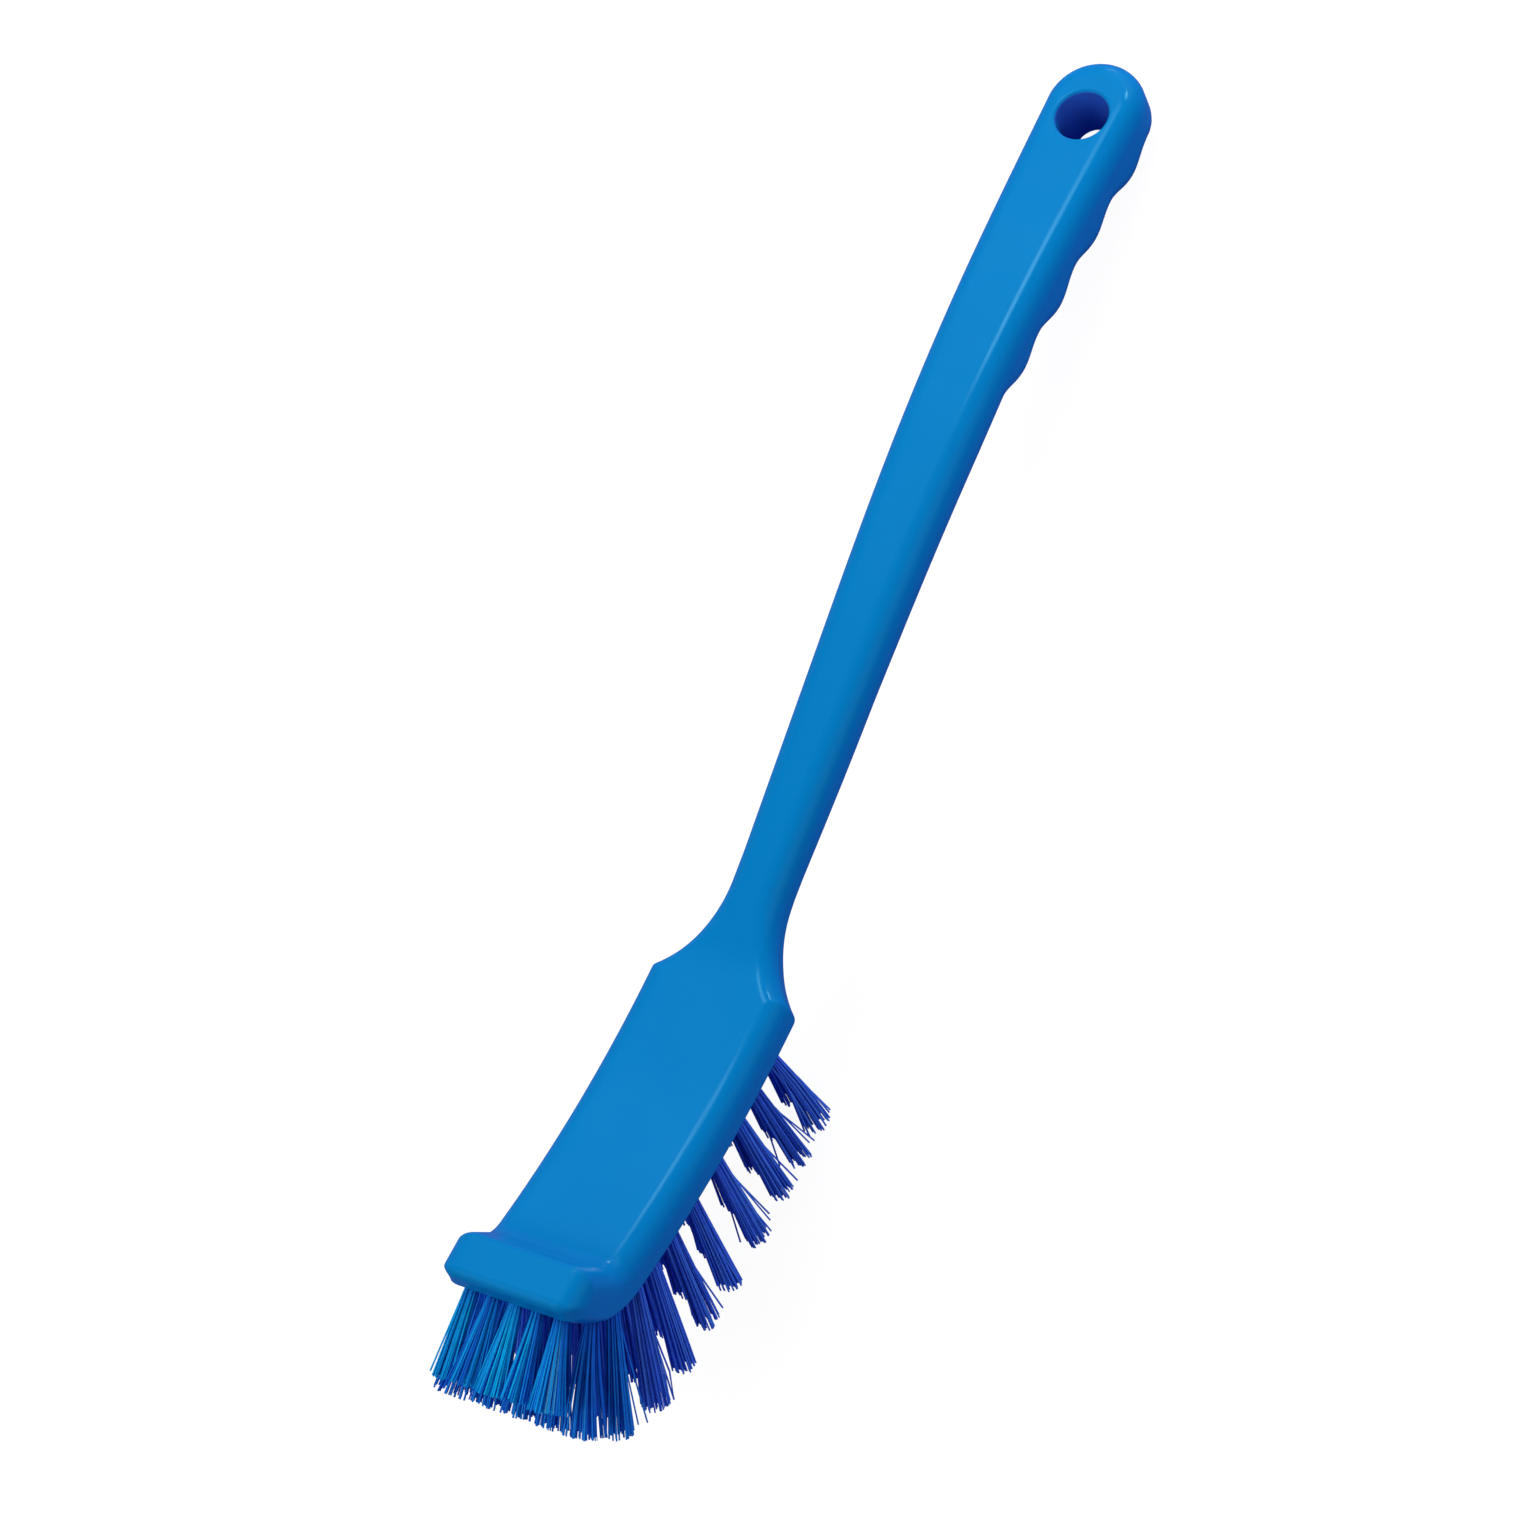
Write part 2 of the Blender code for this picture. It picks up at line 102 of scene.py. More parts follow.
# single filaments that stand out of their bundle: offset of the tip, to the side and towards the nose
STRAYS = {
    "r02_left": ((2.2, -5.6), (2.4, -4.6), (-1.0, 5.0), (-3.0, 4.4), (1.5, 4.2), (-4.6, 2.8), (0.2, 6.0)),
    "r03_left": ((3.5, 0.5), (5.0, -0.5), (6.0, 0.8), (4.2, 1.6), (5.5, 0.2), (6.8, -0.8), (7.4, 1.2)),
    "r04_left": ((-1.5, -5.5), (0.3, -6.8), (1.75, -8.0), (-5.6, 4.4)),
    "r05_left": ((-4.1, 0.0), (-0.9, 2.0)),
    "r06_left": ((3.1, -5.9),),
    "r08_left": ((-1.1, -10.3), (0.7, -7.9), (3.6, -3.8), (-4.9, 3.3)),
    "r09_left": ((-4.1, 1.3),),
    "r10_left": ((4.4, -0.3),),
    "r12_left": ((1.9, -6.75), (-6.8, -0.7), (-3.7, 2.0)),
    "r16_left": ((7.1, -4.4), (3.4, -5.15)),
    "r18_left": ((0.9, -10.2), (2.7, -13.0)),
}

FLOOR_GLOW = 0.84
FLOOR_BOUNCE = (0.09, 0.15, 0.60, 1)


def smooth(q):
    q = np.clip(q, 0.0, 1.0)
    return q * q * (3.0 - 2.0 * q)


def top_slope(x):
    x = np.asarray(x, float)
    at_shoulder = -ROCKER_X / ROCKER_R
    s = np.where(x >= 0, (x - ROCKER_X) / ROCKER_R,
                 at_shoulder + (-SHAFT_SLOPE - at_shoulder) * smooth(-x / NECK_RUN))
    return s + (SHAFT_SLOPE - GRIP_SLOPE) * smooth((-x - CRANK_START) / (CRANK_END - CRANK_START))


STATIONS = np.arange(-380.0, 140.05, 0.25)
_sl = top_slope(STATIONS)
_ht = np.concatenate([[0.0], np.cumsum((_sl[1:] + _sl[:-1]) * 0.125)])
HEIGHTS = _ht - np.interp(0.0, STATIONS, _ht)


def top_z(x):
    return np.interp(x, STATIONS, HEIGHTS)


def thickness(x):
    x = np.asarray(x, float)
    t = HEAD_T + (SHAFT_T - HEAD_T) * smooth(-x / NECK_T_RUN)
    t = t + (GRIP_T - SHAFT_T) * smooth((-x - GRIP_T_START) / (GRIP_T_END - GRIP_T_START))
    t = t + BUTT_T * smooth((-x - BUTT_START) / (BUTT_END - BUTT_START))
    turn = (x - GROOVE_X) / GROOVE_PITCH
    last = GROOVE_COUNT - 0.5
    wave = np.cos(2 * np.pi * turn)
    wave = np.where(turn > 0.5, -np.exp(-np.maximum(turn - 0.5, 0) * GROOVE_PITCH / 11.0), wave)
    wave = np.where(turn < -last, -np.exp(-np.maximum(-turn - last, 0) * GROOVE_PITCH / 6.0), wave)
    return t + GROOVE_A * wave


def under_radius(x):
    return float(np.interp(x, [-110.0, -40.0, -18.0], [UNDER_R_GRIP, 6.0, UNDER_R_HEAD]))


def half_width(x, inset):
    """Half width of the plan outline, moved inwards by inset, with the shoulder's corner rounded."""
    w = min(NECK_HALF_W + TAPER * max(TAPER_X - x, 0.0), END_R) - inset
    if x > SHOULDER_X:
        r = SHOULDER_R + inset
        u = min(x - SHOULDER_X, r)
        w = min(NECK_HALF_W + SHOULDER_R - math.sqrt(r * r - u * u), HEAD_HALF_W - inset)
        # the corner's circle touches the concave arc on one side and the straight flank on the other
        q = max(CORNER_R - inset, 0.6)
        cy = HEAD_HALF_W - inset - q
        rise = NECK_HALF_W + SHOULDER_R - cy
        cx = SHOULDER_X + math.sqrt((r + q) ** 2 - rise ** 2)
        start = SHOULDER_X + (cx - SHOULDER_X) * r / (r + q)
        if start < x < cx:
            w = cy + math.sqrt(max(q * q - (x - cx) ** 2, 0.0))
    return w


def arc(cx, cz, r, a0, a1, n):
    a = np.radians(np.linspace(a0, a1, n))
    return np.stack([cx + r * np.cos(a), cz + r * np.sin(a)], -1)


def head_top_path(k):
    x = np.linspace(0, FOOT_X, 16 * k + 1)
    path = [np.stack([x, top_z(x)], -1)]
    p = path[0][-1]
    a0 = math.degrees(math.atan((FOOT_X - ROCKER_X) / ROCKER_R))
    foot = arc(p[0] - FOOT_R * math.sin(math.radians(a0)), p[1] + FOOT_R * math.cos(math.radians(a0)),
               FOOT_R, a0 - 90, RISER_DEG - 90, 4 * k + 1)
    path.append(foot[1:])
    p = foot[-1]
    ra = math.radians(RISER_DEG)
    rise = max(LIP_Z - LIP_REAR_R * (1 - math.cos(ra)) - p[1], 0.2)
    q = p + np.array([rise / math.tan(ra), rise])
    path.append(np.linspace(p, q, k + 1)[1:])
    rear = arc(q[0] + LIP_REAR_R * math.sin(ra), q[1] - LIP_REAR_R * math.cos(ra),
               LIP_REAR_R, 90 + RISER_DEG, 90, 3 * k + 1)
    path.append(rear[1:])
    e = np.array([NOSE_X - LIP_FRONT_R, rear[-1][1]])
    path.append(np.linspace(rear[-1], e, 2 * k + 1)[1:])
    path.append(arc(e[0], e[1] - LIP_FRONT_R, LIP_FRONT_R, 90, 0, 3 * k + 1)[1:])
    path.append(np.linspace(path[-1][-1], np.array([NOSE_X, LIP_FRONT_Z]), 2 * k + 1)[1:])
    return np.concatenate(path)


def head_under_path(k):
    x = np.linspace(0, TOE_X, 16 * k + 1)
    z = ((x - ROCKER_X) ** 2 - ROCKER_X ** 2) / (2 * ROCKER_R_UNDER) - HEAD_T
    a0 = math.degrees(math.atan((TOE_X - ROCKER_X) / ROCKER_R_UNDER))
    toe = arc(TOE_X - TOE_R * math.sin(math.radians(a0)), z[-1] + TOE_R * math.cos(math.radians(a0)),
              TOE_R, a0 - 90, TOE_DEG - 90, 12 * k + 1)
    ease = np.linspace(0, 1, len(toe))[:, None] ** 2
    toe = toe + (np.array([NOSE_X, LIP_FRONT_Z]) - toe[-1]) * ease
    return np.concatenate([np.stack([x, z], -1), toe[1:]])


def run(path):
    return np.concatenate([[0.0], np.cumsum(np.hypot(*np.diff(path, axis=0).T))])


def at_shares(path, share):
    s = run(path)
    q = np.asarray(share) * s[-1]
    return np.stack([np.interp(q, s, path[:, 0]), np.interp(q, s, path[:, 1])], -1)


def distance(p, path):
    a, b = path[:-1], path[1:]
    ab = b - a
    t = np.clip(((p - a) * ab).sum(-1) / np.maximum((ab * ab).sum(-1), 1e-12), 0, 1)
    return float(np.sqrt((((a + ab * t[:, None]) - p) ** 2).sum(-1)).min())


def rounding(r, depth):
    depth = min(max(depth, 0.0), r)
    return r - math.sqrt(max(r * r - (r - depth) ** 2, 0.0))


def nose_roundings(t, u):
    """Rounding at a top point and at its underside point; they meet at the nose."""
    drop = 0.0
    if t[0] > NOSE_X - LIP_FRONT_R:
        drop = float(smooth((LIP_Z - 1.2 - t[1]) / 3.6))
    grow = float(smooth((u[0] - NOSE_R_X) / (NOSE_X - NOSE_R_X)))
    return EDGE_R + (NOSE_R - EDGE_R) * drop, UNDER_R_HEAD + (NOSE_R - UNDER_R_HEAD) * grow


# =====================================================================
# Stock surface
# =====================================================================
FLAT = (0.0, 0.30, 0.58, 0.80, 0.93, 0.985)     # rows across a flat, as shares of its half width
SIDE = (0.10, 0.35, 0.65, 0.90)                 # rows down a side wall
TOP_ARC = [math.radians(a) for a in (0, 3, 7, 12, 18, 25, 33, 41, 49, 57, 65, 73, 81, 87, 90)]
UNDER_ARC = [math.radians(a) for a in (90, 84, 74, 63, 52, 41, 30, 19, 9, 0)]


def half_ring(x, place):
    """One half of a handle section, from the top's middle round to the underside's."""
    tilt = math.cos(math.atan(float(top_slope(x))))
    r = under_radius(x)
    top, under = [], []
    for a in TOP_ARC:
        px, py = place(EDGE_R * (1 - math.sin(a)))
        top.append((px, py, top_z(px) - EDGE_R * (1 - math.cos(a)) / tilt))
    for a in UNDER_ARC:
        px, py = place(r * (1 - math.sin(a)))
        under.append((px, py, top_z(px) - float(thickness(px)) + r * (1 - math.cos(a)) / tilt))
    return top, under


def fill_half(top, under, top_mid, under_mid):
    """Adds the rows across both flats and down the side."""
    a, b = np.array(top[0]), np.array(top[-1])
    c, d = np.array(under[0]), np.array(under[-1])
    out = [top_mid + (a - top_mid) * f for f in FLAT]
    out += [np.array(p) for p in top]
    out += [b + (c - b) * f for f in SIDE]
    out += [np.array(p) for p in under]
    out += [under_mid + (d - under_mid) * f for f in reversed(FLAT)]
    return out


def settle(points):
    """Puts the rows across the handle's flats on the surface itself."""
    for i in range(len(FLAT)):
        p = points[i]
        p[2] = top_z(p[0])
        q = points[-1 - i]
        q[2] = top_z(q[0]) - float(thickness(q[0]))
    return points


def stock_half_rings():
    rings = []
    for a in np.linspace(0, math.pi / 2, 19)[:-1]:
        def place(d, a=a):
            return END_X - (END_R - d) * math.cos(a), (END_R - d) * math.sin(a)
        top, under = half_ring(END_X - END_R * math.cos(a), place)
        mid = np.array([END_X, 0.0, 0.0])
        rings.append(settle(fill_half(top, under, mid, mid.copy())))
    stations = list(np.arange(END_X, -62.0, 1.75))
    stations += list(np.linspace(-61.5, -38.2, 16)) + list(np.linspace(SHOULDER_X, -6.0, 32)) + list(np.arange(-5.6, -0.1, 0.4))
    for x in stations:
        top, under = half_ring(x, lambda d, x=x: (x, half_width(x, d)))
        mid = np.array([x, 0.0, 0.0])
        rings.append(settle(fill_half(top, under, mid, mid.copy())))
    k = 6
    t_pts = head_top_path(k)
    under = head_under_path(k)
    share = run(t_pts) / run(t_pts)[-1]
    u_pts = at_shares(under, share)
    for t, u in zip(t_pts, u_pts):
        length = float(np.hypot(*(u - t)))
        r_top, r_under = nose_roundings(t, u)
        squeeze = min(1.0, length / (r_top + r_under + 0.01))
        ups = [r_top * (1 - math.cos(a)) * squeeze for a in TOP_ARC]
        downs = [length - r_under * (1 - math.cos(a)) * squeeze for a in UNDER_ARC]
        walls = [ups[-1] + (downs[0] - ups[-1]) * f for f in SIDE]
        rows = []
        for s in ups + walls + downs:
            s = min(max(s, 0.0), length)
            p = t + (u - t) * (s / max(length, 1e-9))
            y = HEAD_HALF_W - max(rounding(r_top, distance(p, t_pts)), rounding(r_under, distance(p, under)))
            if p[0] < 4.0:
                y = half_width(p[0], HEAD_HALF_W - y)     # the rounded corner's inner rows end here
            rows.append(np.array((p[0], y, p[1])))
        ring = [np.array((t[0], rows[0][1] * f, t[1])) for f in FLAT] + rows
        ring += [np.array((u[0], rows[-1][1] * f, u[1])) for f in reversed(FLAT)]
        rings.append(ring)
    return rings


def new_object(name, mesh):
    ob = bpy.data.objects.new(name, mesh)
    bpy.context.scene.collection.objects.link(ob)
    return ob


def to_mesh(name, verts, faces):
    me = bpy.data.meshes.new(name)
    me.from_pydata([tuple(float(c) * MM for c in v) for v in verts], [], faces)
    me.update()
    return me


def turned(verts, faces, origin, axis, side, levels, sides):
    """A closed turned body of (height, radius) levels."""
    other = axis.cross(side)
    first = len(verts)
    for h, r in levels:
        for i in range(sides):
            a = 2 * math.pi * i / sides
            p = origin + axis * h + side * (r * math.cos(a)) + other * (r * math.sin(a))
            verts.append((p.x, p.y, p.z))
    n = len(levels)
    for j in range(n - 1):
        for i in range(sides):
            k = (i + 1) % sides
            a = first + j * sides
            faces.append((a + i, a + k, a + sides + k, a + sides + i))
    faces.append(tuple(first + i for i in reversed(range(sides))))
    faces.append(tuple(first + (n - 1) * sides + i for i in range(sides)))


def subtract(target, verts, faces, name):
    me = to_mesh(name, verts, faces)
    bm = bmesh.new()
    bm.from_mesh(me)
    bmesh.ops.recalc_face_normals(bm, faces=bm.faces)
    bm.to_mesh(me)
    bm.free()
    tool = new_object(name, me)
    mod = target.modifiers.new(name, 'BOOLEAN')
    mod.operation = 'DIFFERENCE'
    mod.object = tool
    bpy.context.view_layer.update()
    dg = bpy.context.evaluated_depsgraph_get()
    made = bpy.data.meshes.new_from_object(target.evaluated_get(dg))
    target.modifiers.clear()
    old = target.data
    target.data = made
    bpy.data.meshes.remove(old)
    bpy.data.objects.remove(tool, do_unlink=True)


def build_stock():
    halves = stock_half_rings()
    n = len(halves[0])
    verts, faces, loops = [], [], []
    for ring in halves:
        loop = []
        for p in ring:
            loop.append(len(verts))
            verts.append((p[0], p[1], p[2]))
        for p in reversed(ring[1:-1]):
            loop.append(len(verts))
            verts.append((p[0], -p[1], p[2]))
        loops.append(loop)
    for a, b in zip(loops[:-1], loops[1:]):
        for i in range(len(a)):
            j = (i + 1) % len(a)
            faces.append((a[i], a[j], b[j], b[i]))
    me = to_mesh("stock_body", verts, faces)
    bm = bmesh.new()
    bm.from_mesh(me)
    bmesh.ops.remove_doubles(bm, verts=bm.verts, dist=0.00004)
    bmesh.ops.dissolve_degenerate(bm, dist=0.00001, edges=bm.edges)
    bmesh.ops.recalc_face_normals(bm, faces=bm.faces)
    bm.to_mesh(me)
    bm.free()
    ob = new_object("stock_body", me)

    # the hanging eye, its rims rounded on both faces
    sides = 96
    cut_v, cut_f = [], []
    slope = math.atan(float(top_slope(EYE_X)))
    axis = Vector((-math.sin(slope), 0, math.cos(slope)))
    along = Vector((math.cos(slope), 0, math.sin(slope)))
    centre = Vector((EYE_X, 0, float(top_z(EYE_X))))
    deep = float(thickness(EYE_X)) * math.cos(slope)
    rim = [(EYE_RIM * (1 - math.cos(math.radians(a))), EYE_RIM * (1 - math.sin(math.radians(a)))) for a in (0, 10, 20, 32, 45, 58, 70, 80, 90)]
    levels = [("under", -6.0, EYE_R + EYE_RIM)]
    levels += [("under", h, EYE_R + g) for h, g in rim]
    levels += [("top", -h, EYE_R + g) for h, g in reversed(rim)]
    levels += [("top", 6.0, EYE_R + EYE_RIM)]
    for which, h, r in levels:
        for i in range(sides):
            a = 2 * math.pi * i / sides
            px = r * math.cos(a)
            py = r * math.sin(a)
            base = centre + along * px
            if which == "under":
                low = float(top_z(base.x) - thickness(base.x))
                base = Vector((base.x, 0, low))
            cut_v.append((base.x + axis.x * h, py, base.z + axis.z * h))
    for j in range(len(levels) - 1):
        for i in range(sides):
            k = (i + 1) % sides
            a = j * sides
            cut_f.append((a + i, a + k, a + sides + k, a + sides + i))
    cut_f.append(tuple(reversed(range(sides))))
    cut_f.append(tuple((len(levels) - 1) * sides + i for i in range(sides)))
    subtract(ob, cut_v, cut_f, "tool_eye")

    # blind tuft holes
    cut_v, cut_f = [], []
    for name, root, d, side, free, s, y in LAYOUT:
        turned(cut_v, cut_f, root - d * HOLE_DEPTH, d, side,
               [(0, HOLE_R * 0.25), (0.9, HOLE_R), (HOLE_DEPTH + 5, HOLE_R)], 20)
    subtract(ob, cut_v, cut_f, "tool_holes")
    ob.data.shade_smooth()
    ob.data.set_sharp_from_angle(angle=math.radians(42))
    mod = ob.modifiers.new("even_normals", 'WEIGHTED_NORMAL')
    mod.mode = 'FACE_AREA_WITH_ANGLE'
    mod.weight = 50
    mod.keep_sharp = True
    return ob


# =====================================================================
# Bristles
# =====================================================================
UNDER = head_under_path(8)
UNDER_RUN = run(UNDER)


def tuft_layout():
    rows = [(REAR_ROW, (-COLUMN, COLUMN), ("right", "left"))]
    for i, s in enumerate(ROWS_OF_THREE):
        rows.append((s, (-2 * COLUMN, 0.0, 2 * COLUMN), ("right", "centre", "left")))
        if i + 1 < len(ROWS_OF_THREE):
            rows.append(((s + ROWS_OF_THREE[i + 1]) / 2, (-COLUMN, COLUMN), ("right", "left")))
    five = ("right", "mid_right", "centre", "mid_left", "left")
    rows.append((ROW_OF_FIVE, tuple(COLUMN * i for i in range(-2, 3)), five))
    rows.append((NOSE_ROW, tuple(NOSE_COLUMN * i for i in range(-2, 3)), five))
    out = []
    for number, (s, sides, words) in enumerate(rows, 1):
        x = float(np.interp(s, UNDER_RUN, UNDER[:, 0]))
        z = float(np.interp(s, UNDER_RUN, UNDER[:, 1]))
        lean = LEAN_REAR * max(min(s, LEAN_KNEE) - ROWS_OF_THREE[0], 0.0) + LEAN_NOSE * max(s - LEAN_KNEE, 0.0)
        if s == REAR_ROW:
            lean = REAR_ROW_LEAN
        spread = float(np.interp(s, [ROWS_OF_THREE[-1], NOSE_ROW], [SPLAY, SPLAY_NOSE]))
        free = float(np.interp(s, [t[0] for t in TRIM], [t[1] for t in TRIM]))
        for y, word in zip(sides, words):
            a, b = math.radians(lean), math.radians(spread * y)
            d = Vector((math.sin(a) * math.cos(b), math.sin(b), -math.cos(a) * math.cos(b)))
            side = Vector((0, 1, 0)) - d * d.y
            side.normalize()
            out.append(("r%02d_%s" % (number, word), Vector((x, y, z)), d, side, free, s, y))
    return out


LAYOUT = tuft_layout()


def tube(path, radius, sides, verts, faces, tone, tones, turn=0.0):
    """A closed tube along the points of path, flat at both ends, with a tone at each point."""
    first = len(verts)
    n = len(path)
    tangent = np.gradient(path, axis=0)
    tangent /= np.linalg.norm(tangent, axis=1)[:, None]
    ref = np.cross(tangent[0], [0.123, 0.456, 0.789])
    ref /= np.linalg.norm(ref)
    for i in range(n):
        t = tangent[i]
        ref = ref - t * (ref @ t)
        ref /= np.linalg.norm(ref)
        other = np.cross(t, ref)
        for j in range(sides):
            a = turn + 2 * math.pi * j / sides
            verts.append(path[i] + (ref * math.cos(a) + other * math.sin(a)) * radius)
            tone.append(tones[i])
    for i in range(n - 1):
        for j in range(sides):
            k = (j + 1) % sides
            a = first + i * sides
            faces.append((a + j, a + k, a + sides + k, a + sides + j))
    faces.append(tuple(first + j for j in reversed(range(sides))))
    faces.append(tuple(first + (n - 1) * sides + j for j in range(sides)))


def build_tuft(index, name, root, d, side, free, tip_r, mat):
    rng = np.random.default_rng(1000 + index)
    d3, u3 = np.array(d), np.array(side)
    v3 = np.cross(d3, u3)
    o = np.array(root)
    verts, faces, tone = [], [], []
    n = FOLDED_PER_TUFT
    reach = HOLE_R - FILAMENT_R - 0.05
    golden = math.pi * (3 - math.sqrt(5))
    # a few soft clumps pull neighbouring filaments together towards the tips
    clumps = rng.normal(0, 1, (11, 2))
    clumps = clumps / np.maximum(np.linalg.norm(clumps, axis=1)[:, None], 1e-6) * np.sqrt(rng.uniform(0.05, 1, (11, 1))) * tip_r
    clump_length = rng.normal(0, 0.4, 11)
    clump_tone = rng.uniform(0.15, 0.80, 11)
    bend = rng.normal(0, 0.15, 2)
    belly = np.zeros(2)
    scatter, foot, widen, hold = 0.10, FOOT_PAINTED_SHADE, 1.0, 0.30
    if name.startswith(("r19", "r20")):
        # the two rows of five stand close and hide what is behind them
        n, widen, hold = n + 2, 1.12, 0.12
    if name.startswith("r20"):
        scatter, foot = 0.24, FOOT_PAINTED_SHADE_NOSE
    if name == "r20_right":
        tip_r, bend = 3.8, np.array([1.8, 0.0])
    if name == "r20_left":
        tip_r, bend = 6.2, np.array([1.1, 0.0])
    if name in ("r19_left", "r19_right"):
        inwards = -0.6 if name == "r19_left" else 0.6
        n, tip_r, bend, belly = n + 2, 7.2, np.array([inwards, 0.0]), np.array([inwards, 0.0])
    if name == "r02_left":
        belly = np.array([0.0, -0.9])
    # painted highlight: a few clear filaments at the nose's near corner get the pale cyan glint colour
    glints = 3 if name == "r20_left" else 0
    strays = list(STRAYS.get(name, ()))
    for k in range(n):
        # half of a disc, mirrored through the fold over the wire
        r = reach * math.sqrt((k + 0.5) / n)
        a = golden * k + rng.normal(0, 0.25)
        cu, cv = r * math.cos(a), abs(r * math.sin(a))
        cv = max(cv, 0.52)
        legs = []
        for sign in (1, -1):
            uu, vv = cu + rng.normal(0, 0.05), sign * cv
            tip = np.array([uu * widen, vv]) * (tip_r / reach) * (1 + rng.normal(0, 0.05)) + rng.normal(0, 0.15, 2) + bend
            pull = int(np.argmin(((clumps - tip) ** 2).sum(1)))
            tip = tip + (clumps[pull] - tip) * rng.uniform(0.0, hold)
            length = free + clump_length[pull] * 0.7 - 0.35 - abs(rng.normal(0, 0.28))
            bow = rng.normal(0, 0.08, 2) + belly
            if strays and r > 0.45 * reach:
                tip = np.array(strays.pop(0))
                length = free - 0.4
            elif rng.random() < 0.015:
                tip = tip * rng.uniform(1.1, 1.35)
                length = free * rng.uniform(0.88, 1.0)
            ts = np.array([0.0, 0.14, 0.32, 0.52, 0.75, 1.0])
            leg = []
            for t in ts[::-1]:
                e = t ** 1.12
                c = np.array([uu, vv]) * (1 - e) + tip * e + bow * math.sin(math.pi * t)
                leg.append(o + d3 * (length * t) + u3 * c[0] + v3 * c[1])
            value = min(max(clump_tone[pull] + rng.normal(0, scatter), 0.12), 0.85)
            # painted highlight on the first few glint filaments
            if sign > 0 and glints and cu > 0.1 * reach and cv > 0.4 * reach:
                value, glints = 1.0, glints - 1
            legs.append((leg, uu, vv, value))
        fold_depth = 8.4
        path = list(legs[0][0])
        path.append(o - d3 * fold_depth + u3 * legs[0][1] + v3 * cv)
        for b in (30, 60, 90, 120, 150):
            bb = math.radians(b)
            path.append(o - d3 * (fold_depth + cv * math.sin(bb)) + u3 * (legs[0][1] * (1 - b / 180) + legs[1][1] * b / 180) + v3 * (cv * math.cos(bb)))
        path.append(o - d3 * fold_depth + u3 * legs[1][1] - v3 * cv)
        path += list(legs[1][0])[::-1]
        inner = len(path) - 2 * len(foot)
        # painted shade: the feet fade towards the dark end of the tone ramp, and the fold inside the hole takes it
        # outright
        tones = [legs[0][3] * f for f in foot] + [0.0] * inner + [legs[1][3] * f for f in reversed(foot)]
        tube(np.array(path), FILAMENT_R * rng.uniform(0.94, 1.08), 6, verts, faces, tone, tones, rng.uniform(0, 6.28))
    verts = [v * MM for v in verts]
    me = bpy.data.meshes.new("bristles_" + name)
    me.from_pydata([tuple(v) for v in verts], [], faces)
    me.update()
    att = me.attributes.new("tone", 'FLOAT', 'POINT')
    att.data.foreach_set("value", np.array(tone, np.float32))
    me.shade_smooth()
    me.set_sharp_from_angle(angle=math.radians(62))
    me.materials.append(mat)
    ob = new_object("bristles_" + name, me)
    return ob


def keep_inside(ob, lo, hi, margin=0.0004):
    """Keeps a bundle's stray tips inside the part's box."""
    co = np.zeros(len(ob.data.vertices) * 3, np.float32)
    ob.data.vertices.foreach_get("co", co)
    co = co.reshape(-1, 3).astype(float)
    co = np.clip(co, np.array(lo) + margin * np.array([1, 1, 0.5]), np.array(hi) - margin)
    ob.data.vertices.foreach_set("co", co.astype(np.float32).ravel())
    ob.data.update()


# =====================================================================
# Materials
# =====================================================================
def base_material(name):
    m = bpy.data.materials.new(name)
    m.use_nodes = True
    nt = m.node_tree
    return m, nt, nt.nodes["Principled BSDF"]


def node(nt, kind, **values):
    n = nt.nodes.new(kind)
    for k, v in values.items():
        setattr(n, k, v)
    return n


